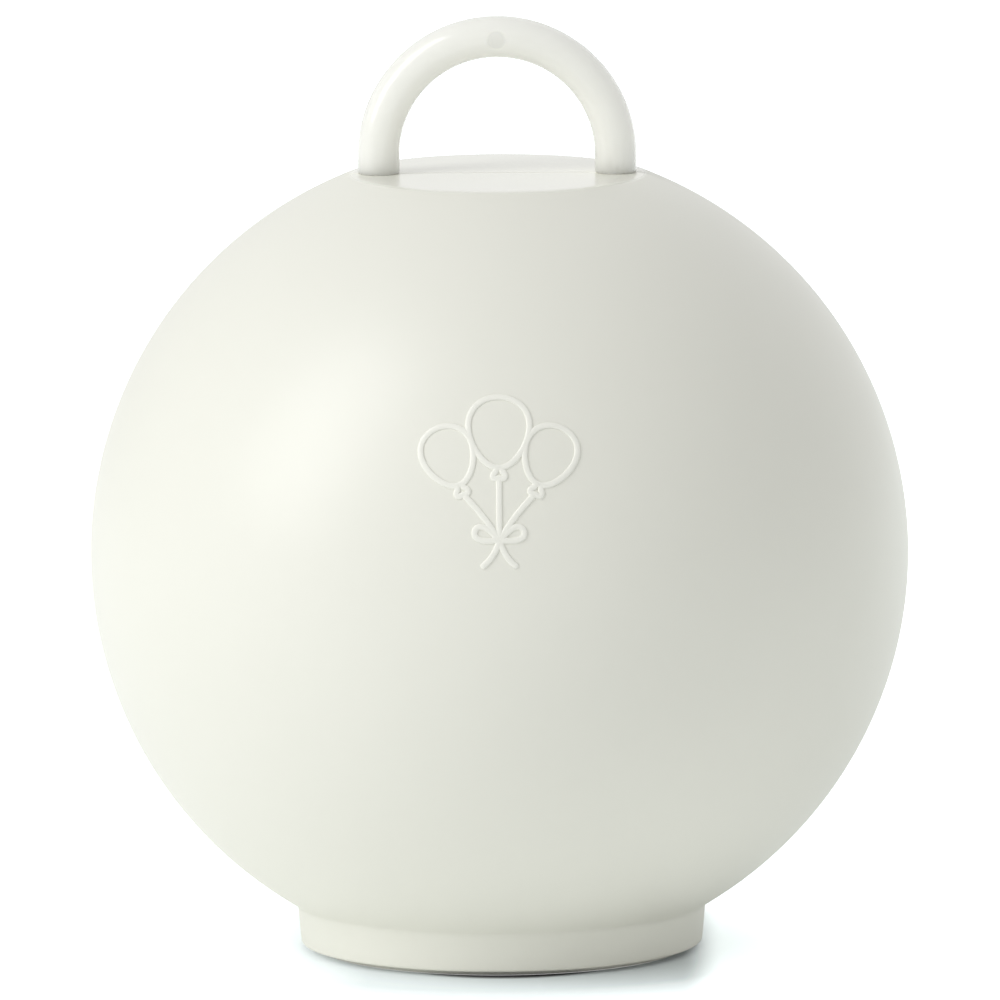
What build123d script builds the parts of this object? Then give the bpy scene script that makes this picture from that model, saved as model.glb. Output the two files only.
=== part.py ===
# Kettlebell-shaped balloon weight: a hollow plastic ball in two welded halves, half filled
# with sand, with an arched handle for the ribbon and a push-in plug up under the foot.
# Millimetres, +Z up, origin on the table under the middle of the foot, front towards -Y.
import os
from math import asin, degrees, sqrt

from build123d import *

os.makedirs("parts", exist_ok=True)

# Ball
ball_diameter = 55.0
wall = 1.8
top_edge_radius = 2.0

# Foot under the ball
foot_top_diameter = 27.5
foot_bottom_diameter = 27.0
foot_height = 3.0
foot_lift = 0.35
foot_crease_radius = 0.4
foot_edge_radius = 0.2
foot_ring_inset = 1.0
foot_rim_width = 1.8
foot_recess_depth = 1.2
floor_thickness = 1.6

# Handle, with necks through the flat top and flanges trapped under it
bar_diameter = 2.8
leg_spacing = 15.9
leg_height = 1.25
leg_margin = 0.45
neck_diameter = 2.0
neck_clearance = 0.05
flange_diameter = 3.3
flange_thickness = 1.0
flange_pocket_depth = 0.6
gate_mark_diameter = 1.2
gate_mark_depth = 0.18

# Tongue and groove along the seam, angles about the ball's centre from the level
tongue_width = 0.6
tongue_height = 0.8
tongue_clearance = 0.1
tongue_low_angle = -50.0
tongue_high_angle = 58.0

# Filling hole and its plug
fill_hole_diameter = 12.0
plug_clearance = 0.05
plug_flange_width = 1.5
plug_flange_thickness = 0.8
plug_wall = 0.9
plug_reach = 1.2
plug_lead_in = 0.4
rib_count = 2
rib_height = 0.35
rib_width = 0.7
pull_bar_width = 1.2
nail_notch_diameter = 2.4

# Sand
sand_depth = 24.3
sand_clearance = 0.2

# Radii and heights that follow from the sizes above
ball_radius = ball_diameter / 2
cavity_radius = ball_radius - wall
bar_radius = bar_diameter / 2
leg_x = leg_spacing / 2
top_flat_radius = leg_x + bar_radius + leg_margin
foot_top_radius = foot_top_diameter / 2
foot_bottom_radius = foot_bottom_diameter / 2
foot_ring_radius = foot_bottom_radius - foot_ring_inset
recess_radius = foot_bottom_radius - foot_rim_width
fill_hole_radius = fill_hole_diameter / 2

ball_centre_z = foot_height + sqrt(ball_radius**2 - foot_top_radius**2)
top_z = ball_centre_z + sqrt(ball_radius**2 - top_flat_radius**2)
ceiling_z = top_z - wall
floor_z = foot_recess_depth + floor_thickness
arch_z = top_z + leg_height
crown_z = arch_z + leg_x
flange_seat_z = ceiling_z + flange_pocket_depth
leg_spots = [(-leg_x, 0), (leg_x, 0)]


def ball_arc(radius, low_z, high_z):
    """Arc about the ball's centre, on the +X side, between two heights."""
    low_angle = degrees(asin((low_z - ball_centre_z) / radius))
    high_angle = degrees(asin((high_z - ball_centre_z) / radius))
    return CenterArc((0, ball_centre_z), radius, low_angle, high_angle - low_angle)


# Half section of the ball's wall: foot on its set-back ring, ball, flat top, ceiling, cavity
# and floor
with BuildSketch(Plane.XZ) as wall_section:
    with BuildLine():
        outside = ball_arc(ball_radius, foot_height, top_z)
        cavity = ball_arc(cavity_radius, floor_z, ceiling_z)
        Polyline(outside @ 1, (0, top_z), (0, ceiling_z), cavity @ 1)
        Polyline(
            cavity @ 0,
            (0, floor_z),
            (0, foot_recess_depth),
            (recess_radius, foot_recess_depth),
            (recess_radius, 0),
            (foot_ring_radius, 0),
            (foot_ring_radius, foot_lift),
            (foot_bottom_radius, foot_lift),
            outside @ 0,
        )
    make_face()
    rounded_corners = [
        ((top_flat_radius, top_z), top_edge_radius),
        ((foot_top_radius, foot_height), foot_crease_radius),
        ((foot_bottom_radius, foot_lift), foot_edge_radius),
    ]
    for corner, radius in rounded_corners:
        fillet(wall_section.vertices().sort_by_distance(corner)[0], radius)


def seam_slot(width):
    """Curved slot down the middle of the wall on both sides of the seam, in the handle's plane."""
    mid_wall_radius = ball_radius - wall / 2
    tongue_sweep = tongue_high_angle - tongue_low_angle
    with BuildSketch(Plane.XZ) as slot:
        with BuildLine():
            CenterArc((0, ball_centre_z), mid_wall_radius, tongue_low_angle, tongue_sweep)
            CenterArc((0, ball_centre_z), mid_wall_radius, 180 - tongue_high_angle, tongue_sweep)
        trace(line_width=width)
    return slot.sketch


def cut_fill_hole():
    """Cut the filling hole up through the floor of the open half, as far as the plug reaches."""
    with BuildSketch(Plane.XY.offset(foot_recess_depth)) as hole:
        Circle(fill_hole_radius)
    extrude(hole.sketch, amount=floor_thickness + plug_reach, mode=Mode.SUBTRACT)


def cut_handle_seats():
    """Cut the two neck holes and, from inside, the flange pockets into the open half."""
    with BuildSketch(Plane.XY.offset(top_z)) as necks:
        with Locations(leg_spots):
            Circle(neck_diameter / 2 + neck_clearance)
    extrude(necks.sketch, amount=-wall, mode=Mode.SUBTRACT)
    with BuildSketch(Plane.XY.offset(flange_seat_z)) as pockets:
        with Locations(leg_spots):
            Circle(flange_diameter / 2 + neck_clearance)
    extrude(pockets.sketch, amount=-flange_thickness - flange_pocket_depth, mode=Mode.SUBTRACT)


# Front half of the ball, with the groove
with BuildPart() as front_shell:
    revolve(wall_section.sketch, axis=Axis.Z.reverse(), revolution_arc=180)
    cut_fill_hole()
    cut_handle_seats()
    groove = seam_slot(tongue_width + 2 * tongue_clearance)
    extrude(groove, amount=tongue_height + tongue_clearance, mode=Mode.SUBTRACT)

front_shell.part.label = "front_shell"
export_step(front_shell.part, "parts/front_shell.step")

# Back half of the ball, with the tongue that stands into the groove
with BuildPart() as back_shell:
    revolve(wall_section.sketch, axis=Axis.Z, revolution_arc=180)
    cut_fill_hole()
    cut_handle_seats()
    extrude(seam_slot(tongue_width), amount=tongue_height)

back_shell.part.label = "back_shell"
export_step(back_shell.part, "parts/back_shell.step")

# Handle: a round bar bent to an arch, necked at both ends, with a gate mark on the crown
with BuildPart() as handle:
    with BuildLine(Plane.XZ):
        left_leg = Line((-leg_x, top_z), (-leg_x, arch_z))
        arch = ThreePointArc(left_leg @ 1, (0, crown_z), (leg_x, arch_z))
        Line(arch @ 1, (leg_x, top_z))
    with BuildSketch(Plane.XY.offset(top_z)):
        with Locations(leg_spots[0]):
            Circle(bar_radius)
    sweep()
    with BuildSketch(Plane.XY.offset(top_z)):
        with Locations(leg_spots):
            Circle(neck_diameter / 2)
    extrude(amount=flange_seat_z - top_z)
    with BuildSketch(Plane.XY.offset(flange_seat_z)):
        with Locations(leg_spots):
            Circle(flange_diameter / 2)
    extrude(amount=-flange_thickness)
    with BuildSketch(Plane.XZ.offset(bar_radius - gate_mark_depth)):
        with Locations((0, crown_z)):
            Circle(gate_mark_diameter / 2)
    extrude(amount=gate_mark_depth, mode=Mode.SUBTRACT)

handle.part.label = "handle"
export_step(handle.part, "parts/handle.step")

# Plug: a soft cup with sealing ribs, a flange against the floor's underside and a pull bar
rib_radius = fill_hole_radius - plug_clearance
stem_radius = rib_radius - rib_height
cup_radius = stem_radius - plug_wall
plug_flange_radius = fill_hole_radius + plug_flange_width
plug_bottom_z = foot_recess_depth - plug_flange_thickness
plug_top_z = floor_z + plug_reach
cup_top_z = plug_top_z - plug_wall

with BuildPart() as fill_plug:
    with BuildSketch(Plane.XZ):
        with BuildLine():
            Polyline(
                (cup_radius, plug_bottom_z),
                (plug_flange_radius, plug_bottom_z),
                (plug_flange_radius, foot_recess_depth),
                (stem_radius, foot_recess_depth),
                (stem_radius, plug_top_z - plug_lead_in),
                (stem_radius - plug_lead_in, plug_top_z),
                (0, plug_top_z),
                (0, cup_top_z),
                (cup_radius, cup_top_z),
                close=True,
            )
        make_face()
        for rib in range(rib_count):
            rib_z = foot_recess_depth + floor_thickness * (rib + 0.5) / rib_count
            with BuildLine():
                Polyline(
                    (stem_radius - rib_height, rib_z - rib_width / 2),
                    (stem_radius, rib_z - rib_width / 2),
                    (rib_radius, rib_z - rib_width / 4),
                    (rib_radius, rib_z + rib_width / 4),
                    (stem_radius, rib_z + rib_width / 2),
                    (stem_radius - rib_height, rib_z + rib_width / 2),
                    close=True,
                )
            make_face()
    revolve(axis=Axis.Z)
    with BuildSketch(Plane.XY.offset(plug_bottom_z)):
        Rectangle(2 * stem_radius - plug_wall, pull_bar_width)
    extrude(amount=cup_top_z + plug_wall / 2 - plug_bottom_z)
    with BuildSketch(Plane.XY.offset(plug_bottom_z)):
        with Locations((0, -plug_flange_radius)):
            Circle(nail_notch_diameter / 2)
    extrude(amount=plug_flange_thickness, mode=Mode.SUBTRACT)

fill_plug.part.label = "fill_plug"
export_step(fill_plug.part, "parts/fill_plug.step")

# Sand: settled in the lower part of the cavity, level on top, hollowed over the plug
sand_radius = cavity_radius - sand_clearance
sand_floor_z = floor_z + sand_clearance
sand_top_z = floor_z + sand_depth
pocket_radius = fill_hole_radius + sand_clearance
pocket_top_z = plug_top_z + sand_clearance

with BuildPart() as ballast_sand:
    with BuildSketch(Plane.XZ):
        with BuildLine():
            bowl = ball_arc(sand_radius, sand_floor_z, sand_top_z)
            Polyline(bowl @ 1, (0, sand_top_z), (0, sand_floor_z), bowl @ 0)
        make_face()
    revolve(axis=Axis.Z)
    with BuildSketch(Plane.XY.offset(sand_floor_z)):
        Circle(pocket_radius)
    extrude(amount=pocket_top_z - sand_floor_z, mode=Mode.SUBTRACT)

ballast_sand.part.label = "ballast_sand"
export_step(ballast_sand.part, "parts/ballast_sand.step")
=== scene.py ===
import math

import bpy
import numpy as np
from mathutils import Matrix, Vector


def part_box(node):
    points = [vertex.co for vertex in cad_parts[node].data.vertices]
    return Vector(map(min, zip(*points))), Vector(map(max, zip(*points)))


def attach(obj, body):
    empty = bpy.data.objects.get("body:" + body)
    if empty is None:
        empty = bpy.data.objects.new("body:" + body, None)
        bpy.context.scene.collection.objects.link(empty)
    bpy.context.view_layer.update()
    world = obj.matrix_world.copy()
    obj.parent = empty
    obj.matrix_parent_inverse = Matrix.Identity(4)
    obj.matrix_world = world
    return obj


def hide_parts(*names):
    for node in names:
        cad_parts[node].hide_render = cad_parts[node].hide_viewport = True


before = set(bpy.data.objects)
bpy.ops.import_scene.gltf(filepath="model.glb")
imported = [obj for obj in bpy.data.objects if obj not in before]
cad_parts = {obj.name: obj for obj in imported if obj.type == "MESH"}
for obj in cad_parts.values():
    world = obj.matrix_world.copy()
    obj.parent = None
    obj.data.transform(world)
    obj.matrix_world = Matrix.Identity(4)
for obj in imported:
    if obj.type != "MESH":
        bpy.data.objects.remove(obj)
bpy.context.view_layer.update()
mm = 0.001

# Ball: two hollow halves of off-white styrene, moulded in a spark-eroded tool that leaves a satin
# skin, with the flat top polished. They are welded together in the plane of the handle, and the
# weld leaves a fine groove all round. The foot stands on a ring that is set back from its edge.
ball_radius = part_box("front_shell")[1].x
top_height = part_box("front_shell")[1].z
wall = 1.8 * mm
flat_radius = 9.8 * mm
flat_edge_setback = 0.4 * mm
foot_top_radius = 13.75 * mm
foot_bottom_radius = 13.5 * mm
foot_height = 3.0 * mm
foot_lift = 0.35 * mm
foot_ring_radius = 12.5 * mm
recess_radius = 11.7 * mm
recess_height = 1.2 * mm
floor_height = 2.8 * mm
fill_hole_radius = 6.0 * mm
crease_setback = 0.3 * mm
foot_setbacks = np.array([0.2, 0.05, 0.1, 0.15, 0.25]) * mm
seam_rounding = 0.12 * mm
seam_crowding = 0.94
seam_columns = 141
flat_rows, edge_rows, ball_rows, floor_edge_rows, foot_steps = 24, 9, 100, 3, 6
ring_margin, recess_margin = 0.1 * mm, 0.2 * mm
edge_degrees = 40

ball_centre = foot_height + math.sqrt(ball_radius**2 - foot_top_radius**2)
ceiling_height = top_height - wall
cavity_radius = ball_radius - wall


def straight(start, end, count):
    """Evenly spaced points on the line from start to end."""
    return np.linspace(start, end, count)


def eased(before, corner, after, count):
    """Corner rounded off as a parabola that leaves its two sides at before and after."""
    t = np.linspace(0, 1, count)[:, None]
    return (1 - t) ** 2 * np.array(before) + 2 * t * (1 - t) * np.array(corner) + t**2 * np.array(after)


def joined(*stretches):
    """One outline from stretches that each start where the last one ended."""
    return np.concatenate([stretches[0]] + [stretch[1:] for stretch in stretches[1:]])


def rounded_outline(corners, setbacks, steps):
    """Outline through straight corners, each inner one eased over its setback on both sides."""
    corners = np.array(corners, float)
    runs, here = [], corners[0]
    for last, corner, following, setback in zip(corners, corners[1:], corners[2:], setbacks):
        before = corner + (last - corner) * setback / np.linalg.norm(last - corner)
        after = corner + (following - corner) * setback / np.linalg.norm(following - corner)
        runs += [straight(here, before, steps), eased(before, corner, after, steps)]
        here = after
    return joined(*runs, straight(here, corners[-1], steps))


def round_ball(radius, start, end, count):
    """Points at one radius about the ball's centre, between two angles from straight up."""
    angle = np.linspace(start, end, count)
    return np.stack([radius * np.sin(angle), ball_centre + radius * np.cos(angle)], 1)


def sphere_angle(radius, height):
    """Angle from straight up at which a sphere about the ball's centre reaches a height."""
    return math.acos((height - ball_centre) / radius)


def level_from_axis(radius, height, count):
    """Points on a level line out from the axis, crowded towards it as the square of their number."""
    return np.stack([radius * np.linspace(0, 1, count) ** 2, np.full(count, height)], 1)


skin = round_ball(
    ball_radius,
    sphere_angle(ball_radius, top_height) + flat_edge_setback / ball_radius,
    sphere_angle(ball_radius, foot_height) - crease_setback / ball_radius,
    ball_rows,
)
foot_corner = np.array([foot_top_radius, foot_height])
foot_wall = np.array([foot_bottom_radius, foot_lift]) - foot_corner
crease_end = foot_corner + foot_wall * crease_setback / np.linalg.norm(foot_wall)
foot = rounded_outline(
    [
        crease_end,
        (foot_bottom_radius, foot_lift),
        (foot_ring_radius, foot_lift),
        (foot_ring_radius, 0),
        (recess_radius, 0),
        (recess_radius, recess_height),
        (fill_hole_radius, recess_height),
    ],
    foot_setbacks,
    foot_steps,
)
flat = level_from_axis(flat_radius - flat_edge_setback, top_height, flat_rows)
outer = joined(
    flat,
    eased(flat[-1], (flat_radius, top_height), skin[0], edge_rows),
    skin,
    eased(skin[-1], foot_corner, crease_end, edge_rows),
    foot,
)

# The inner outline has as many points as the outer one, so that the seam faces join them in pairs.
cavity_start = sphere_angle(cavity_radius, ceiling_height)
cavity_end = sphere_angle(cavity_radius, floor_height)
over_foot = math.pi - math.asin((foot_ring_radius + ring_margin) / cavity_radius)
over_recess = math.pi - math.asin((recess_radius + recess_margin) / cavity_radius)
floor_edge = round_ball(cavity_radius, over_recess, cavity_end, floor_edge_rows)
inner = joined(
    level_from_axis(cavity_radius * math.sin(cavity_start), ceiling_height, flat_rows + edge_rows - 1),
    round_ball(cavity_radius, cavity_start, over_foot, ball_rows + edge_rows - 1),
    round_ball(cavity_radius, over_foot, over_recess, len(foot) - foot_steps + 1),
    floor_edge,
    straight(floor_edge[-1], (fill_hole_radius, floor_height), foot_steps - floor_edge_rows + 1),
)


def grid_quads(index):
    """Quads between the neighbours of a grid of vertex numbers, row by row."""
    corners = [index[:-1, :-1], index[1:, :-1], index[1:, 1:], index[:-1, 1:]]
    return np.stack(corners, -1).reshape(-1, 4)


def mesh_piece(name, points, quads, sharp_degrees):
    """Object at the origin from whole arrays, smooth up to a sharp angle.

    Vertices that no quad uses are dropped, and a quad that repeats a vertex at a pole becomes
    the triangle of the other three.
    """
    used, quads = np.unique(quads, return_inverse=True)
    quads = quads.reshape(-1, 4)
    first = quads[:, 0] == quads[:, 3]
    last = quads[:, 1] == quads[:, 2]
    poles = quads[first][:, :3].tolist() + quads[last][:, [0, 1, 3]].tolist()
    faces = quads[~(first | last)].tolist() + poles
    mesh = bpy.data.meshes.new(name)
    mesh.from_pydata(points.reshape(-1, 3)[used].tolist(), [], faces)
    mesh.polygons.foreach_set("use_smooth", np.ones(len(mesh.polygons), bool))
    mesh.set_sharp_from_angle(angle=math.radians(sharp_degrees))
    piece = bpy.data.objects.new(name, mesh)
    bpy.context.scene.collection.objects.link(piece)
    return piece


def half_ball(side):
    """The wall's section turned half way round, closed by the two seam faces.

    Rows run down the outer outline and back up the inner one, columns run from +X to -X by the
    back, crowded towards the seam. Within the seam rounding the outer skin sinks along its own
    normal on a quarter circle. side is 1 for the back and -1 for its mirror image, the front.
    """
    rows = len(outer)
    tangent = np.gradient(outer, axis=0)
    tangent /= np.linalg.norm(tangent, axis=1)[:, None]
    normal = np.stack([-tangent[:, 1], tangent[:, 0]], 1)
    even = np.linspace(0, 1, seam_columns)
    turn = np.pi * (even - seam_crowding * np.sin(2 * np.pi * even) / (2 * np.pi))
    from_seam = np.clip(outer[:, :1] * np.sin(turn), 0, seam_rounding)
    sink = seam_rounding - np.sqrt(seam_rounding**2 - (seam_rounding - from_seam) ** 2)
    section = outer[:, None, :] - sink[:, :, None] * normal[:, None, :]
    section = np.concatenate([section, np.repeat(inner[::-1, None, :], seam_columns, 1)])
    radius, height = section[..., 0], section[..., 1]
    points = np.stack([radius * np.cos(turn), side * radius * np.sin(turn), height], -1)
    index = np.arange(radius.size).reshape(radius.shape)
    index[[0, -1]] = index[[0, -1], :1]
    down, up = index[:rows], index[: rows - 1 : -1]
    seam_start = np.stack([up[:, 0], down[:, 0]], 1)
    seam_end = np.stack([down[:, -1], up[:, -1]], 1)
    quads = np.concatenate([grid_quads(index), grid_quads(seam_start), grid_quads(seam_end)])
    return points, quads if side > 0 else quads[:, ::-1]


def put(tree, kind, inputs=None, **settings):
    """Add a node to a tree, set its properties, and set or link its inputs by name or number."""
    node = tree.nodes.new(kind)
    for key, value in settings.items():
        setattr(node, key, value)
    for key, value in (inputs or {}).items():
        if isinstance(value, bpy.types.NodeSocket):
            tree.links.new(value, node.inputs[key])
        else:
            node.inputs[key].default_value = value
    return node


def ranged(tree, value, start, end, low=0.0, high=1.0, ease="LINEAR"):
    """Value carried from the stretch start to end onto low to high, and held beyond both."""
    stretch = {"Value": value, "From Min": start, "From Max": end, "To Min": low, "To Max": high}
    return put(tree, "ShaderNodeMapRange", stretch, interpolation_type=ease).outputs["Result"]


def worked(tree, operation, *terms, **settings):
    """Result of one math operation on numbers and sockets."""
    return put(tree, "ShaderNodeMath", dict(enumerate(terms)), operation=operation, **settings).outputs[0]


def number_between(tree, share, first, second):
    """Number that is a share of the way from the first to the second."""
    return put(tree, "ShaderNodeMix", {"Factor": share, 2: first, 3: second}).outputs[0]


def colour_between(tree, share, first, second):
    """Colour that is a share of the way from the first to the second."""
    return put(tree, "ShaderNodeMix", {"Factor": share, 6: first, 7: second}, data_type="RGBA").outputs[2]


scuff_start, scuff_full = 0.6, 0.78
scuff_stretch = (1.0, 0.35, 1.6)


def moulded_skin_group():
    """Shared skin of moulded plastic: slow clouds of tone, fine grain of the tool, stray scuffs."""
    group = bpy.data.node_groups.new("moulded_skin", "ShaderNodeTree")
    group.interface.new_socket("Place", in_out="INPUT", socket_type="NodeSocketVector")
    for name in ("Cloud Scale", "Grain Scale", "Scuff Scale"):
        group.interface.new_socket(name, in_out="INPUT", socket_type="NodeSocketFloat")
    for name in ("Cloud", "Grain", "Scuff"):
        group.interface.new_socket(name, in_out="OUTPUT", socket_type="NodeSocketFloat")
    given = group.nodes.new("NodeGroupInput").outputs
    cloud = put(group, "ShaderNodeTexNoise", {
        "Vector": given["Place"], "Scale": given["Cloud Scale"], "Detail": 3.0, "Roughness": 0.5})
    grain = put(group, "ShaderNodeTexNoise", {
        "Vector": given["Place"], "Scale": given["Grain Scale"], "Detail": 2.0, "Roughness": 0.6})
    stretched = put(group, "ShaderNodeVectorMath", {
        0: given["Place"], 1: scuff_stretch}, operation="MULTIPLY")
    scratch = put(group, "ShaderNodeTexNoise", {
        "Vector": stretched.outputs[0], "Scale": given["Scuff Scale"], "Detail": 6.0, "Roughness": 0.7})
    scuff = ranged(group, scratch.outputs["Fac"], scuff_start, scuff_full)
    put(group, "NodeGroupOutput", {
        "Cloud": cloud.outputs["Fac"], "Grain": grain.outputs["Fac"], "Scuff": scuff})
    return group


moulded_skin = moulded_skin_group()
cloud_low, cloud_high = 0.3, 0.7
gloss_spread = 0.025
flat_roughness = 0.2
polish_start, polish_full = 0.12 * mm, 0.03 * mm
scuff_tone = (0.62, 0.62, 0.56)
scuff_roughening = 0.2
plastic_ior = 1.5


def plastic(
    name, pale, deep, roughness, grain_depth, cloud_scale, grain_scale, scuff_scale=900,
    glow=0.0, glow_reach=0.0, polished_above=None, scuffed_below=None,
):
    """Moulded plastic: clouds between two tones, uneven gloss, fine grain in the bump, a soft glow.

    Above one height the skin is polished; below another it is scuffed, dulled and a little darker.
    The glow is the share of light that wanders under the skin, over the distance glow_reach.
    """
    material = bpy.data.materials.new(name)
    material.use_nodes = True
    tree = material.node_tree
    shader = tree.nodes["Principled BSDF"]
    place = put(tree, "ShaderNodeTexCoord").outputs["Object"]
    marks = put(tree, "ShaderNodeGroup", {
        "Place": place, "Cloud Scale": cloud_scale, "Grain Scale": grain_scale,
        "Scuff Scale": scuff_scale}, node_tree=moulded_skin).outputs
    colour = colour_between(tree, marks["Cloud"], (*deep, 1), (*pale, 1))
    gloss = ranged(
        tree, marks["Cloud"], cloud_low, cloud_high, roughness + gloss_spread, roughness - gloss_spread)
    height = put(tree, "ShaderNodeSeparateXYZ", {"Vector": place}).outputs["Z"]
    if polished_above is not None:
        polish = ranged(tree, height, polished_above - polish_start, polished_above - polish_full)
        gloss = number_between(tree, polish, gloss, flat_roughness)
    if scuffed_below is not None:
        low = ranged(tree, height, scuffed_below, 0.0)
        worn = worked(tree, "MULTIPLY", low, marks["Scuff"])
        colour = colour_between(tree, worn, colour, (*scuff_tone, 1))
        gloss = worked(tree, "MULTIPLY_ADD", worn, scuff_roughening, gloss)
    grain = put(tree, "ShaderNodeBump", {
        "Height": marks["Grain"], "Strength": 1.0, "Distance": grain_depth})
    tree.links.new(colour, shader.inputs["Base Color"])
    tree.links.new(gloss, shader.inputs["Roughness"])
    tree.links.new(grain.outputs["Normal"], shader.inputs["Normal"])
    shader.inputs["IOR"].default_value = plastic_ior
    shader.inputs["Subsurface Weight"].default_value = glow
    shader.inputs["Subsurface Radius"].default_value = (1.0, 1.0, 1.0)
    shader.inputs["Subsurface Scale"].default_value = glow_reach
    return material


satin_plastic = plastic(
    "satin_plastic", pale=(0.84, 0.84, 0.765), deep=(0.81, 0.81, 0.735), roughness=0.4,
    grain_depth=0.002 * mm, cloud_scale=55, grain_scale=7000,
    polished_above=top_height, scuffed_below=0.8 * mm,
)
for node_name, piece_name, side in (("front_shell", "ball_front", -1), ("back_shell", "ball_back", 1)):
    half = mesh_piece(piece_name, *half_ball(side), edge_degrees)
    half.data.materials.append(satin_plastic)
    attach(half, "weight")
    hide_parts(node_name)

# Emblem: a bunch of three balloons on strings with a bow, in fine raised lines on the front of the
# ball. It is cut into the tool and moulded with the front half, and its lines are polished. Its flat
# places and lengths are in millimetres from its middle.
emblem_latitude = math.radians(17.7)
line_width = 0.42 * mm
line_height = 0.1 * mm
line_depth = 0.05 * mm
line_base_share = 0.9
line_fullness = 0.7
line_section_steps = 11
line_degrees = 50
egg_taper = 0.2
knot_radius, knot_swell, knot_drop, knot_length = 0.36, 0.22, 0.42, 0.64
side_lean = math.radians(20)
tie_place = np.array([0, -3.7])
bow_lean, bow_length, bow_width, bow_pinch = math.radians(158), 1.75, 0.62, 1.5
tail_bend, tail_end = (-0.35, -4.9), (-1.25, -5.5)
egg_steps, knot_steps, string_steps, bow_steps, tail_steps = 96, 36, 48, 64, 32
emblem_out = np.array([0, -math.cos(emblem_latitude), math.sin(emblem_latitude)])
emblem_right = np.array([1.0, 0, 0])
emblem_up = np.array([0, math.sin(emblem_latitude), math.cos(emblem_latitude)])


def on_ball(flat_place, lift):
    """Place reached from the emblem's middle along a great circle as long as the flat distance,
    then lifted straight out of the ball."""
    reach = np.linalg.norm(flat_place, axis=-1, keepdims=True)
    heading = flat_place[..., :1] * emblem_right + flat_place[..., 1:] * emblem_up
    heading = heading / np.maximum(reach, 1e-9)
    angle = reach / ball_radius
    outward = np.cos(angle) * emblem_out + np.sin(angle) * heading
    return np.array([0, 0, ball_centre]) + outward * (ball_radius + lift[..., None])


def ring_quads(shape, ends):
    """Quads of a grid whose columns close in a ring.

    ends says what the first and last row become: "points", "joined" to each other, or "open".
    """
    index = np.arange(shape[0] * shape[1]).reshape(shape)
    if ends == "points":
        index[[0, -1]] = index[[0, -1], :1]
    if ends == "joined":
        index = np.concatenate([index, index[:1]])
    return grid_quads(np.concatenate([index, index[:, :1]], 1))


def raised_line(path, closed):
    """A low arched section carried along a flat path and laid on the ball.

    The section is a squared half wave on top and a sunk base. An open path fades out at both ends
    on half circles, in width and height.
    """
    path = np.asarray(path) * mm
    if closed:
        tangent = np.roll(path, -1, 0) - np.roll(path, 1, 0)
        fade = np.ones(len(path))
    else:
        tangent = np.gradient(path, axis=0)
        length = np.concatenate([[0], np.cumsum(np.linalg.norm(np.diff(path, axis=0), axis=1))])
        from_end = np.clip(np.minimum(length, length[-1] - length) / (line_width / 2), 0, 1)
        fade = np.sqrt(1 - (1 - from_end) ** 2)
    tangent /= np.linalg.norm(tangent, axis=1)[:, None]
    across = np.stack([-tangent[:, 1], tangent[:, 0]], 1)
    turn = np.linspace(0, np.pi, line_section_steps)
    side = np.concatenate([-np.cos(turn), [line_base_share, -line_base_share]]) * line_width / 2
    lift = np.concatenate([np.sin(turn) ** line_fullness * line_height, [-line_depth, -line_depth]])
    flat_place = path[:, None, :] + across[:, None, :] * (fade[:, None] * side)[..., None]
    points = on_ball(flat_place, fade[:, None] * lift)
    return points.reshape(-1, 3), ring_quads(points.shape[:2], "joined" if closed else "points")


def merged(parts):
    """One set of points and quads from several, with the vertex numbers carried on."""
    starts = np.cumsum([0] + [len(points) for points, _ in parts[:-1]])
    points = np.concatenate([points for points, _ in parts])
    return points, np.concatenate([quads + start for start, (_, quads) in zip(starts, parts)])


def leaned(x, y, place, lean):
    """Flat points turned by a lean and carried to a place."""
    c, s = math.cos(lean), math.sin(lean)
    return np.stack([place[0] + c * x - s * y, place[1] + s * x + c * y], 1)


def egg(middle, half_width, half_height, lean):
    """Closed egg: an ellipse whose width shrinks towards its foot, leaned about its middle."""
    turn = np.linspace(0, 2 * np.pi, egg_steps, endpoint=False)
    x = half_width * np.sin(turn) * (1 + egg_taper * np.cos(turn))
    return leaned(x, half_height * np.cos(turn), middle, lean)


def knot(tip, lean):
    """Closed rounded triangle hung from an egg's foot: a circle whose radius swells three times."""
    turn = np.linspace(0, 2 * np.pi, knot_steps, endpoint=False)
    reach = knot_radius * (1 + knot_swell * np.cos(3 * turn))
    return leaned(reach * np.sin(turn), reach * np.cos(turn) - knot_drop, tip, lean)


def balloon(middle, half_width, half_height, lean, string_bend):
    """Egg, knot and string of one balloon; the string bends on its way from the knot to the tie."""
    down = np.array([math.sin(lean), -math.cos(lean)])
    tip = np.array(middle) + half_height * down
    string = eased(tip + knot_length * down, string_bend, tie_place, string_steps)
    return [(egg(middle, half_width, half_height, lean), True), (knot(tip, lean), True), (string, False)]


def bow_loop():
    """Closed teardrop from the tie outwards: one wave across, drawn in towards the tie."""
    turn = np.linspace(0, 2 * np.pi, bow_steps, endpoint=False)
    x = bow_length * (1 - np.cos(turn)) / 2
    y = bow_width * np.sin(turn) * np.sin(turn / 2) ** bow_pinch
    return leaned(x, y, tie_place, bow_lean)


def mirrored(path):
    """The same path on the other side of the emblem's middle line, run the other way."""
    return (path * [-1, 1])[::-1]


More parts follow.
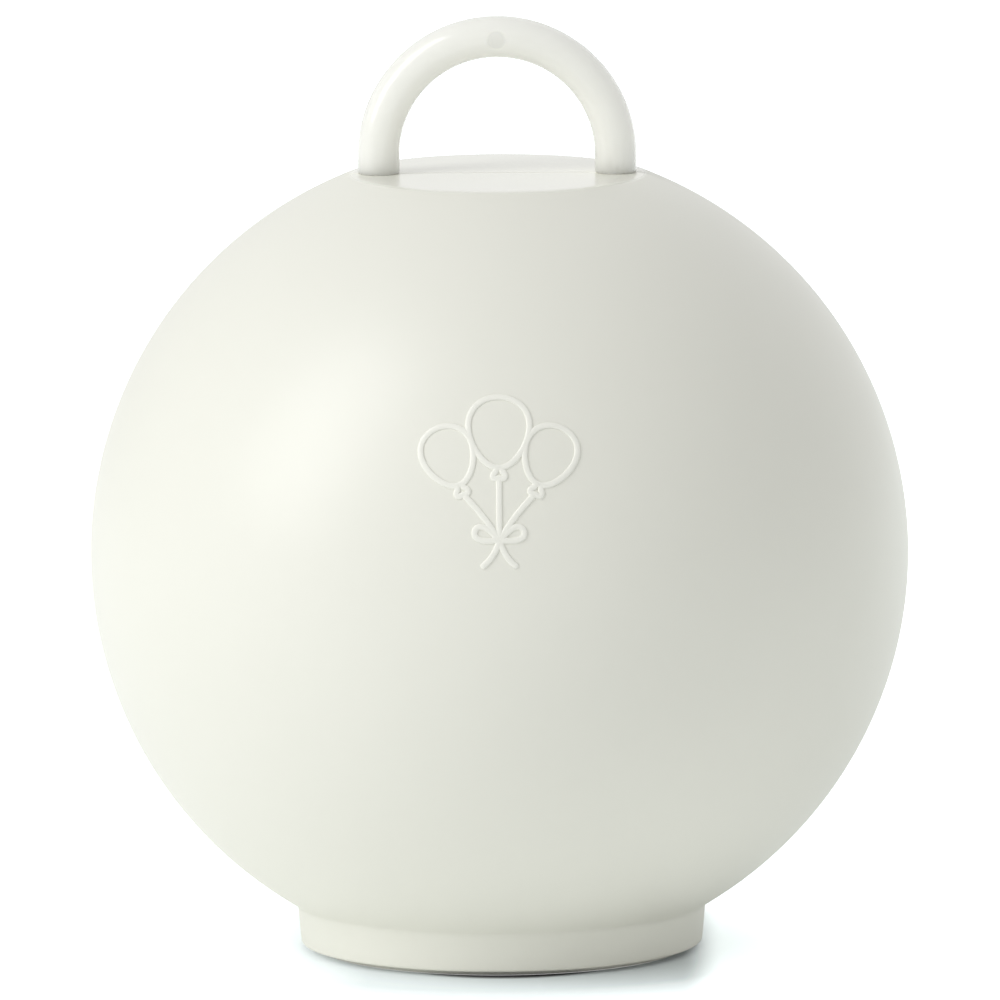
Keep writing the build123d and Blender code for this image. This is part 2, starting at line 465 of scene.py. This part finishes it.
middle_lines = balloon(
    middle=(0, 3.6), half_width=2.0, half_height=2.45, lean=0, string_bend=(0, -1.7))
side_lines = balloon(
    middle=(-3.35, 2.0), half_width=1.7, half_height=2.1, lean=side_lean, string_bend=(-1.0, -2.0))
side_lines += [(bow_loop(), True), (eased(tie_place, tail_bend, tail_end, tail_steps), False)]
emblem_lines = middle_lines + side_lines + [(mirrored(path), closed) for path, closed in side_lines]
emblem = mesh_piece("balloon_emblem", *merged([raised_line(*line) for line in emblem_lines]), line_degrees)
emblem.data.materials.append(plastic(
    "raised_plastic", pale=(0.9, 0.9, 0.83), deep=(0.87, 0.87, 0.8), roughness=0.3,
    grain_depth=0.0008 * mm, cloud_scale=90, grain_scale=6000,
))
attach(emblem, "weight")

# Sand: dry fine sand, poured in through the hole in the foot. It has settled nearly level, with
# shallow heaps, and keeps clear of the wall and of the plug by a grain or two.
sand_clearance = 0.2 * mm
sand_radius = cavity_radius - sand_clearance
sand_depth = 24.3 * mm
sand_top = floor_height + sand_depth
sand_bottom = floor_height + sand_clearance
sand_pocket_radius = fill_hole_radius + sand_clearance
sand_pocket_top = 4.2 * mm
sand_columns = 160
sand_top_rows, sand_bowl_rows, sand_floor_rows, sand_pocket_rows = 50, 60, 6, 4
sand_degrees = 50
heap_depth = 0.5 * mm
heap_wave_span = 5.2
sand_grain_scale = 3200.0
sand_grain_depth = 0.12 * mm
sand_roughness = (0.7, 0.95)
dark_grain, middle_grain, pale_grain = (0.34, 0.25, 0.15), (0.56, 0.45, 0.29), (0.74, 0.64, 0.47)
middle_grain_share = 0.45


def sand_mesh():
    """The filling's section turned all the way round, from the middle of its top to the middle of
    the hollow over the plug; the top sinks by the sum of three crossed waves."""
    bowl_start = sphere_angle(sand_radius, sand_top)
    bowl_end = sphere_angle(sand_radius, sand_bottom)
    bowl = round_ball(sand_radius, bowl_start, bowl_end, sand_bowl_rows)
    pocket_edge, pocket_corner = (sand_pocket_radius, sand_bottom), (sand_pocket_radius, sand_pocket_top)
    outline = joined(
        level_from_axis(bowl[0, 0], sand_top, sand_top_rows),
        bowl,
        straight(bowl[-1], pocket_edge, sand_floor_rows),
        straight(pocket_edge, pocket_corner, sand_pocket_rows),
        straight(pocket_corner, (0, sand_pocket_top), sand_pocket_rows),
    )
    turn = np.linspace(0, 2 * np.pi, sand_columns, endpoint=False)
    x = outline[:, :1] * np.cos(turn)
    y = outline[:, :1] * np.sin(turn)
    broad = np.sin(310 * x + 0.7) * np.cos(270 * y)
    slanting = np.sin(520 * y - 240 * x)
    small = 0.5 * np.cos(900 * x + 700 * y)
    on_top = (np.arange(len(outline)) < sand_top_rows)[:, None]
    z = outline[:, 1:] - on_top * heap_depth * (0.5 + (broad + slanting + small) / heap_wave_span)
    return np.stack([x, y, z], -1), ring_quads(x.shape, "points")


def dry_sand():
    """Sand grains as small cells, each of its own tint between three tones, rough, with rounded tops."""
    material = bpy.data.materials.new("dry_sand")
    material.use_nodes = True
    tree = material.node_tree
    shader = tree.nodes["Principled BSDF"]
    place = put(tree, "ShaderNodeTexCoord").outputs["Object"]
    grains = put(tree, "ShaderNodeTexVoronoi", {"Vector": place, "Scale": sand_grain_scale})
    tint = put(tree, "ShaderNodeSeparateColor", {"Color": grains.outputs["Color"]})
    tones = put(tree, "ShaderNodeValToRGB", {"Fac": tint.outputs["Red"]})
    tones.color_ramp.elements[0].color = (*dark_grain, 1)
    tones.color_ramp.elements[1].color = (*pale_grain, 1)
    tones.color_ramp.elements.new(middle_grain_share).color = (*middle_grain, 1)
    dull = ranged(tree, tint.outputs["Green"], 0.0, 1.0, *sand_roughness)
    bump = put(tree, "ShaderNodeBump", {
        "Height": grains.outputs["Distance"], "Strength": 1.0, "Distance": sand_grain_depth}, invert=True)
    tree.links.new(tones.outputs["Color"], shader.inputs["Base Color"])
    tree.links.new(dull, shader.inputs["Roughness"])
    tree.links.new(bump.outputs["Normal"], shader.inputs["Normal"])
    return material


sand = mesh_piece("sand_fill", *sand_mesh(), sand_degrees)
sand.data.materials.append(dry_sand())
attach(sand, "weight")
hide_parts("ballast_sand")

# Plug: a soft milky cup pushed up into the filling hole. Two ribs seal it, a flange stops it at
# the foot's underside, a bar across the cup gives a grip and a notch lets a nail under the flange.
plug_bottom = 0.4 * mm
plug_top = 4.0 * mm
cup_top = 3.1 * mm
cup_radius = 4.7 * mm
stem_radius = 5.6 * mm
stem_chamfer = 0.4 * mm
rib_radius = 5.95 * mm
rib_heights = (2.4 * mm, 1.6 * mm)
rib_half_root, rib_half_crest = 0.35 * mm, 0.175 * mm
flange_edge = 7.5 * mm
notch_radius = 1.2 * mm
notch_root = 6.2 * mm
notch_crowding = 0.65
plug_setbacks = np.array([0.12, 0.12] + [0.04, 0.12, 0.12, 0.04] * 2 + [0.02, 0.12, 0.25, 0.2, 0.35]) * mm
plug_steps = 6
plug_columns = 240
pull_bar_width = 1.2 * mm
pull_bar_reach = 5.1 * mm
pull_bar_inset = 0.06 * mm
pull_bar_root = 0.3 * mm
pull_bar_taper = 0.86
pull_bar_setbacks = np.array([0.05, 0.3, 0.3, 0.05]) * mm
pull_bar_steps = 5


def plug_cup():
    """The cup's section turned all the way round, with a half-round notch in the flange's edge.

    Columns are crowded towards the notch at the front. Points outside the notch's root are drawn
    in so that the edge follows the notch's half circle, laid out along the edge.
    """
    ribs = []
    for rib_height in rib_heights:
        ribs += [
            (stem_radius, rib_height + rib_half_root),
            (rib_radius, rib_height + rib_half_crest),
            (rib_radius, rib_height - rib_half_crest),
            (stem_radius, rib_height - rib_half_root),
        ]
    outline = rounded_outline(
        [
            (0, plug_top),
            (stem_radius - stem_chamfer, plug_top),
            (stem_radius, plug_top - stem_chamfer),
            *ribs,
            (stem_radius, recess_height),
            (flange_edge, recess_height),
            (flange_edge, plug_bottom),
            (cup_radius, plug_bottom),
            (cup_radius, cup_top),
            (0, cup_top),
        ],
        plug_setbacks,
        plug_steps,
    )
    even = np.linspace(-1, 1, plug_columns, endpoint=False)
    from_notch = np.pi * ((1 - notch_crowding) * even + notch_crowding * even**3)
    notch = np.sqrt(np.clip(notch_radius**2 - (flange_edge * from_notch) ** 2, 0, None))
    share = np.clip((outline[:, :1] - notch_root) / (flange_edge - notch_root), 0, 1)
    radius = outline[:, :1] - share * notch
    height = np.broadcast_to(outline[:, 1:], radius.shape)
    points = np.stack([radius * np.sin(from_notch), -radius * np.cos(from_notch), height], -1)
    return points.reshape(-1, 3), ring_quads(radius.shape, "points")


def pull_bar():
    """A flat bar across the cup: a narrow section with a rounded lower edge, carried along X and
    drawn together to its middle at both ends."""
    low, high, half = plug_bottom + pull_bar_inset, cup_top + pull_bar_root, pull_bar_width / 2
    foot_half = half * pull_bar_taper
    section = rounded_outline(
        [(0, high), (half, high), (foot_half, low), (-foot_half, low), (-half, high), (0, high)],
        pull_bar_setbacks,
        pull_bar_steps,
    )[:-1]
    along = np.array([-1, -1, 1, 1])[:, None] * pull_bar_reach
    spread = np.array([0, 1, 1, 0])[:, None, None]
    middle = np.array([0, (low + high) / 2])
    places = middle + spread * (section - middle)
    points = np.stack([np.broadcast_to(along, places.shape[:2]), places[..., 0], places[..., 1]], -1)
    return points.reshape(-1, 3), ring_quads(points.shape[:2], "points")


plug = mesh_piece("plug_cup", *merged([plug_cup(), pull_bar()]), edge_degrees)
plug.data.materials.append(plastic(
    "milky_plastic", pale=(0.8, 0.83, 0.82), deep=(0.75, 0.78, 0.77), roughness=0.42,
    grain_depth=0.002 * mm, cloud_scale=160, grain_scale=4000, scuff_scale=1500,
    glow=0.3, glow_reach=1.0 * mm,
))
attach(plug, "plug")
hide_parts("fill_plug")

# Handle: one round bar of the ball's plastic, moulded as an arch in a polished tool and trapped by
# the ball's halves at its necked ends. It keeps a fine parting line and a gate mark on the crown.
bar_radius = 1.399 * mm
bar_sides = 96
leg_x = 7.95 * mm
leg_height = 1.25 * mm
leg_edge = 0.1 * mm
leg_edge_share = 0.3
neck_radius = 1.0 * mm
handle_flange_radius = 1.65 * mm
handle_flange_thickness = 1.0 * mm
handle_flange_rise = 0.6 * mm
handle_flange_top = ceiling_height + handle_flange_rise
arch_height = top_height + leg_height
arch_stations = 241
crown_crowding = 0.75
parting_ridge = 0.015 * mm
parting_half_width = 0.14 * mm
gate_radius = 0.6 * mm
gate_depth = 0.05 * mm
gate_lip = 0.16 * mm
gate_drop = 0.1 * mm
gate_height = arch_height + leg_x - gate_drop
gate_tone = (0.8, 0.8, 0.73)
gate_roughening = 0.2


def handle_mesh():
    """A circle carried up one leg, over the arch and down the other, its radius set along the way.

    Stations give place, outward direction and radius, and are crowded at the crown. The parting
    line is a ridge in the arch's plane. Inside a small circle on the crown's front the gate mark
    sinks the bar by an even depth, with a soft lip.
    """
    bottom = handle_flange_top - handle_flange_thickness
    leg = np.array([
        (bottom, 0), (bottom, handle_flange_radius),
        (handle_flange_top, handle_flange_radius), (handle_flange_top, neck_radius),
        (top_height, neck_radius), (top_height, bar_radius - leg_edge),
        (top_height + leg_edge_share * leg_edge, bar_radius - leg_edge_share * leg_edge),
        (top_height + leg_edge, bar_radius), (top_height + leg_height / 2, bar_radius),
    ])
    even = np.linspace(-1, 1, arch_stations)
    arch = np.pi / 2 * ((1 - crown_crowding) * even + crown_crowding * even**3)
    still = np.ones(len(leg))
    x = np.concatenate([-leg_x * still, leg_x * np.sin(arch), leg_x * still])
    z = np.concatenate([leg[:, 0], arch_height + leg_x * np.cos(arch), leg[::-1, 0]])
    out_x = np.concatenate([-still, np.sin(arch), still])[:, None]
    out_z = np.concatenate([0 * still, np.cos(arch), 0 * still])[:, None]
    radius = np.concatenate([leg[:, 1], np.full(len(arch), bar_radius), leg[::-1, 1]])[:, None]
    around = np.linspace(0, 2 * np.pi, bar_sides, endpoint=False)
    ridge = np.clip(1 - np.abs(np.sin(around)) * bar_radius / parting_half_width, 0, 1)
    radius = radius + np.where(radius == bar_radius, parting_ridge * (ridge - 1), 0)
    outward, sideways = radius * np.cos(around), radius * np.sin(around)
    points = np.stack([x[:, None] + outward * out_x, sideways, z[:, None] + outward * out_z], -1)
    off_gate = np.hypot(points[..., 0], points[..., 2] - gate_height)
    press = np.clip((gate_radius - off_gate) / gate_lip + 0.5, 0, 1)
    press = press * press * (3 - 2 * press)
    points[..., 1] += np.where(points[..., 1] < 0, gate_depth * press, 0)
    return points, ring_quads(points.shape[:2], "points")


def distance_from(tree, place, point):
    """Distance of a place from a fixed point."""
    return put(tree, "ShaderNodeVectorMath", {0: place, 1: point}, operation="DISTANCE").outputs["Value"]


def gate_marked(material):
    """The same material with a round mark on the crown's front, a little darker and rougher."""
    tree = material.node_tree
    shader = tree.nodes["Principled BSDF"]
    place = put(tree, "ShaderNodeTexCoord").outputs["Object"]
    off_gate = distance_from(tree, place, (0, -bar_radius, gate_height))
    gate = ranged(tree, off_gate, gate_radius + gate_lip / 2, gate_radius - gate_lip / 2)
    colour = shader.inputs["Base Color"].links[0].from_socket
    gloss = shader.inputs["Roughness"].links[0].from_socket
    dulled = colour_between(tree, gate, colour, (*gate_tone, 1))
    roughened = worked(tree, "MULTIPLY_ADD", gate, gate_roughening, gloss)
    tree.links.new(dulled, shader.inputs["Base Color"])
    tree.links.new(roughened, shader.inputs["Roughness"])
    return material


handle = mesh_piece("handle_arch", *handle_mesh(), edge_degrees)
# painted light: the tone below is paler than the ball's, though it is the same plastic; it stands in for
# light that comes through the thin bar
handle.data.materials.append(gate_marked(plastic(
    "polished_plastic", pale=(0.93, 0.93, 0.82), deep=(0.9, 0.9, 0.79), roughness=0.1,
    grain_depth=0.0005 * mm, cloud_scale=70, grain_scale=5000, glow=0.85, glow_reach=6.0 * mm,
)))
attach(handle, "weight")
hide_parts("handle")

# Camera: a long lens a little above the ball, looking along +Y, as the photograph was taken. The
# ball's size and place in the picture set its focal length and aim.
view_distance = 1.6
view_elevation = math.radians(8.4)
view_roll = math.radians(0.34)
image_pixels = 1000
ball_pixel_radius = 408.9
ball_pixel_x, ball_pixel_y = 499.25, 551.2
focal_pixels = ball_pixel_radius / math.tan(math.asin(ball_radius / view_distance))
backward = Vector((0, -math.cos(view_elevation), math.sin(view_elevation)))
rightward = Vector((1, 0, 0))
upward = backward.cross(rightward)
metres_per_pixel = view_distance / focal_pixels
aim = (
    Vector((0, 0, ball_centre))
    + rightward * (image_pixels / 2 - ball_pixel_x) * metres_per_pixel
    + upward * (ball_pixel_y - image_pixels / 2) * metres_per_pixel
)
camera_data = bpy.data.cameras.new("camera")
camera_data.sensor_width = 36
camera_data.lens = camera_data.sensor_width * focal_pixels / image_pixels
camera_data.clip_end = 20
camera = bpy.data.objects.new("camera", camera_data)
bpy.context.scene.collection.objects.link(camera)
turned = Matrix((rightward, upward, backward)).transposed() @ Matrix.Rotation(-view_roll, 3, "Z")
camera.matrix_world = Matrix.Translation(aim + backward * view_distance) @ turned.to_4x4()
bpy.context.scene.camera = camera
bpy.context.scene.view_settings.view_transform = "Standard"

# Table: a white sheet that glows faintly, a painted fill light that also lights the ball; the glow is kept
# off near the foot and to its right. It keeps the soft shadow in front of the foot and is seen as white
# further out. A painted shadow makes it dark under the foot's front edge, and the camera sees it darker
# and bluer than the light does, a painted cool tint in its shadow. It is open under the foot, where the
# plug comes out, and is not seen from beneath.
table_drop = 0.02 * mm
table_under_ring = 0.12 * mm
table_opening = foot_ring_radius - table_under_ring
table_reach = 3.0
table_columns = 128
# the camera sees the sheet darker and bluer than the light does: a painted cool tint in its shadow
table_tone, table_seen_painted_tint = (0.86, 0.865, 0.86), (0.765, 0.82, 0.855)
# painted shadow: the dark tone, middle and reach of the patch painted under the foot's front edge
painted_shadow_tone = (0.12, 0.12, 0.12)
painted_shadow_middle, painted_shadow_zone = (0.2 * mm, -6 * mm, 0), (8.0 * mm, 7.2 * mm)
# painted fill light: where the sheet's glow starts and is full, measured from a point right of the foot
painted_fill_middle, painted_fill_zone = (2.5 * mm, 0, 0), (12.5 * mm, 18.5 * mm)
glow_tone, painted_fill_strength = (0.94, 1.0, 0.985), 0.18
left_zone, left_whiteness = (-9 * mm, -16 * mm), 0.35
right_zone, right_whiteness = (12 * mm, 15 * mm), 0.6
outer_zone, outer_whiteness = (18.5 * mm, 32 * mm), 0.8
shine_zone, shine_near, shine_far = (40 * mm, 120 * mm), 0.3, 1.0


def table_mesh():
    """Level ring between two radii, in columns all the way round."""
    turn = np.linspace(0, 2 * np.pi, table_columns, endpoint=False)
    radius = np.array([table_opening, table_reach])[:, None]
    level = np.full((2, table_columns), -table_drop)
    points = np.stack([radius * np.cos(turn), radius * np.sin(turn), level], -1)
    return points, ring_quads(level.shape, "open")


def mirror_rays(tree, rays):
    """1 for a ray that a mirroring or clear surface sent on, and 0 for any other."""
    return worked(tree, "MAXIMUM", rays["Is Glossy Ray"], rays["Is Transmission Ray"])


def white_sheet():
    """Matt white sheet that glows faintly away from the foot, a painted fill light that also lights the
    ball.

    Seen by the camera it whitens to the left and right of the foot and all round it, and mirrored it
    whitens most on the right. A round patch under the foot's front edge is painted dark, a painted shadow.
    """
    material = bpy.data.materials.new("white_table")
    material.use_nodes = True
    tree = material.node_tree
    tree.nodes.remove(tree.nodes["Principled BSDF"])
    rays = put(tree, "ShaderNodeLightPath").outputs
    by_camera = rays["Is Camera Ray"]
    place = put(tree, "ShaderNodeTexCoord").outputs["Object"]
    across = put(tree, "ShaderNodeSeparateXYZ", {"Vector": place}).outputs["X"]
    off_foot = distance_from(tree, place, (0, 0, 0))
    # painted fill light: the sheet glows like a lamp, with no glow near the foot and to its right, where
    # the shadow is kept
    glow = ranged(tree, distance_from(tree, place, painted_fill_middle), *painted_fill_zone, 0.0, painted_fill_strength)
    left_of_foot = ranged(tree, across, *left_zone, 0.0, left_whiteness)
    right_of_foot = ranged(tree, across, *right_zone, 0.0, right_whiteness, "SMOOTHSTEP")
    around_foot = ranged(tree, off_foot, *outer_zone, 0.0, outer_whiteness)
    beside_foot = worked(tree, "ADD", left_of_foot, right_of_foot)
    whiteness = worked(tree, "ADD", beside_foot, around_foot, use_clamp=True)
    shine = ranged(tree, across, *shine_zone, shine_near, shine_far)
    seen = worked(tree, "MULTIPLY_ADD", mirror_rays(tree, rays), shine, by_camera)
    strength = worked(tree, "MULTIPLY_ADD", whiteness, seen, glow)
    # painted shadow: the sheet is coloured dark in a round patch under the foot's front edge
    painted_shadow = ranged(tree, distance_from(tree, place, painted_shadow_middle), *painted_shadow_zone)
    # painted cool tint: the sheet's colour for the camera is darker and bluer than for light
    tint = colour_between(tree, by_camera, (*table_tone, 1), (*table_seen_painted_tint, 1))
    shaded = colour_between(tree, painted_shadow, tint, (*painted_shadow_tone, 1))
    matt = put(tree, "ShaderNodeBsdfDiffuse", {"Color": shaded}).outputs[0]
    lift = put(tree, "ShaderNodeEmission", {"Color": (*glow_tone, 1), "Strength": strength}).outputs[0]
    lifted = put(tree, "ShaderNodeAddShader", {0: matt, 1: lift}).outputs[0]
    beneath = put(tree, "ShaderNodeNewGeometry").outputs["Backfacing"]
    clear = put(tree, "ShaderNodeBsdfTransparent").outputs[0]
    sheet = put(tree, "ShaderNodeMixShader", {0: beneath, 1: lifted, 2: clear}).outputs[0]
    tree.links.new(sheet, tree.nodes["Material Output"].inputs["Surface"])
    return material


table = mesh_piece("table", *table_mesh(), edge_degrees)
table.data.materials.append(white_sheet())

# Light: a plain bright room, a little dimmer to the front right, and one long softbox to the left and
# above. The camera sees plain white; mirrored, the room runs from grey on the left to white on the right.
room_light, dim_corner_light = 0.57, 0.5
dim_corner = (0.75, -0.66, 0)
mirrored_left, mirrored_right = 0.62, 1.5
mirrored_turn = 0.6


def bright_room():
    """White world whose strength depends on the direction, and on what sends the ray there."""
    room = bpy.data.worlds.new("surroundings")
    room.use_nodes = True
    tree = room.node_tree
    rays = put(tree, "ShaderNodeLightPath").outputs
    direction = put(tree, "ShaderNodeTexCoord").outputs["Generated"]
    to_corner = put(tree, "ShaderNodeVectorMath", {
        0: direction, 1: dim_corner}, operation="DOT_PRODUCT").outputs["Value"]
    ambient = ranged(tree, to_corner, 0.0, 1.0, room_light, dim_corner_light)
    sideways = put(tree, "ShaderNodeSeparateXYZ", {"Vector": direction}).outputs["X"]
    mirrored_room = ranged(tree, sideways, -mirrored_turn, mirrored_turn, mirrored_left, mirrored_right)
    light = number_between(tree, mirror_rays(tree, rays), ambient, mirrored_room)
    strength = number_between(tree, rays["Is Camera Ray"], light, 1.0)
    tree.links.new(strength, tree.nodes["Background"].inputs["Strength"])
    tree.nodes["Background"].inputs["Color"].default_value = (1, 1, 1, 1)
    return room


def softbox(name, polar, azimuth, distance, length, width, power):
    """Rectangular soft light facing the ball's centre.

    polar is its angle from the line to the camera and azimuth its direction in the picture, from
    the right and anticlockwise. Its length goes round the line to the camera.
    """
    polar, azimuth = math.radians(polar), math.radians(azimuth)
    outward = rightward * math.cos(azimuth) + upward * math.sin(azimuth)
    toward = outward * math.sin(polar) + backward * math.cos(polar)
    along = upward * math.cos(azimuth) - rightward * math.sin(azimuth)
    across = along.cross(toward)
    lamp = bpy.data.lights.new(name, "AREA")
    lamp.shape, lamp.size, lamp.size_y, lamp.energy = "RECTANGLE", width, length, power
    box = bpy.data.objects.new(name, lamp)
    turn = Matrix((across, along, toward)).transposed().to_4x4()
    box.matrix_world = Matrix.Translation(Vector((0, 0, ball_centre)) + toward * distance) @ turn
    box.visible_camera = False
    bpy.context.scene.collection.objects.link(box)


bpy.context.scene.world = bright_room()
softbox("key_softbox", polar=62, azimuth=145, distance=0.6, length=0.56, width=0.28, power=1.9)
